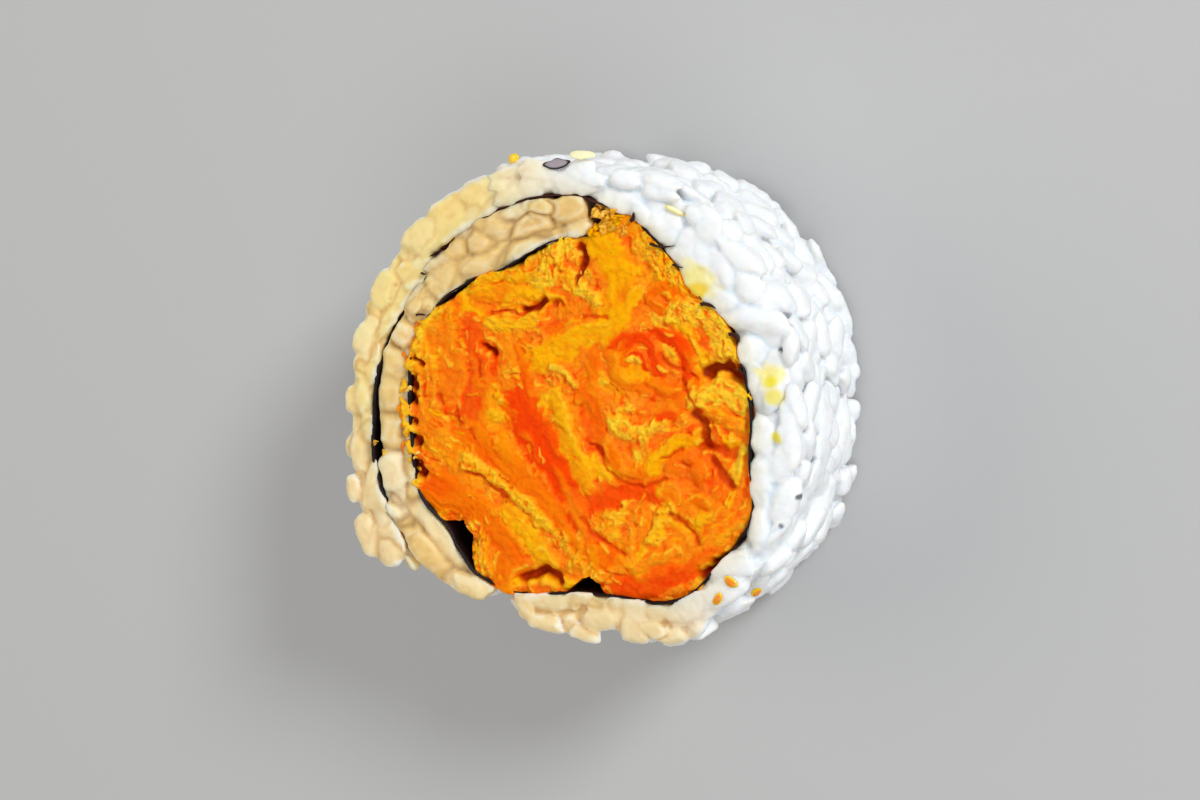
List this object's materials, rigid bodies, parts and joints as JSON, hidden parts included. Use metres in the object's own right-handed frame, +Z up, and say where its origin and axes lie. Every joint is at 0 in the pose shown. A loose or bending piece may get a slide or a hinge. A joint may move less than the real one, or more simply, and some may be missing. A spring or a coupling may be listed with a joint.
{
  "type": "uramaki roll slice",
  "caption": "Slice of an inside-out sushi roll standing on its cut face: rice outside, a spiral sheet of nori, and a flaked fish filling.",
  "frame": {"origin": "middle of the slice's footprint, on the cut face that it stands on", "axes": "+Z up along the roll to the cut face that shows, +Y to the side where the tucked end of the nori lies, +X to the side where one layer of rice lies"},
  "size_m": [0.0518, 0.0512, 0.0232],
  "materials": {
    "rice": "moist cooked rice, satin",
    "nori": "moist seaweed sheet, satin",
    "filling": "moist flaked fish, satin"
  },
  "bodies": {
    "root": {"rice_outer": "rice", "rice_inner": "rice", "nori": "nori", "filling": "filling"}
  },
  "joints": []
}
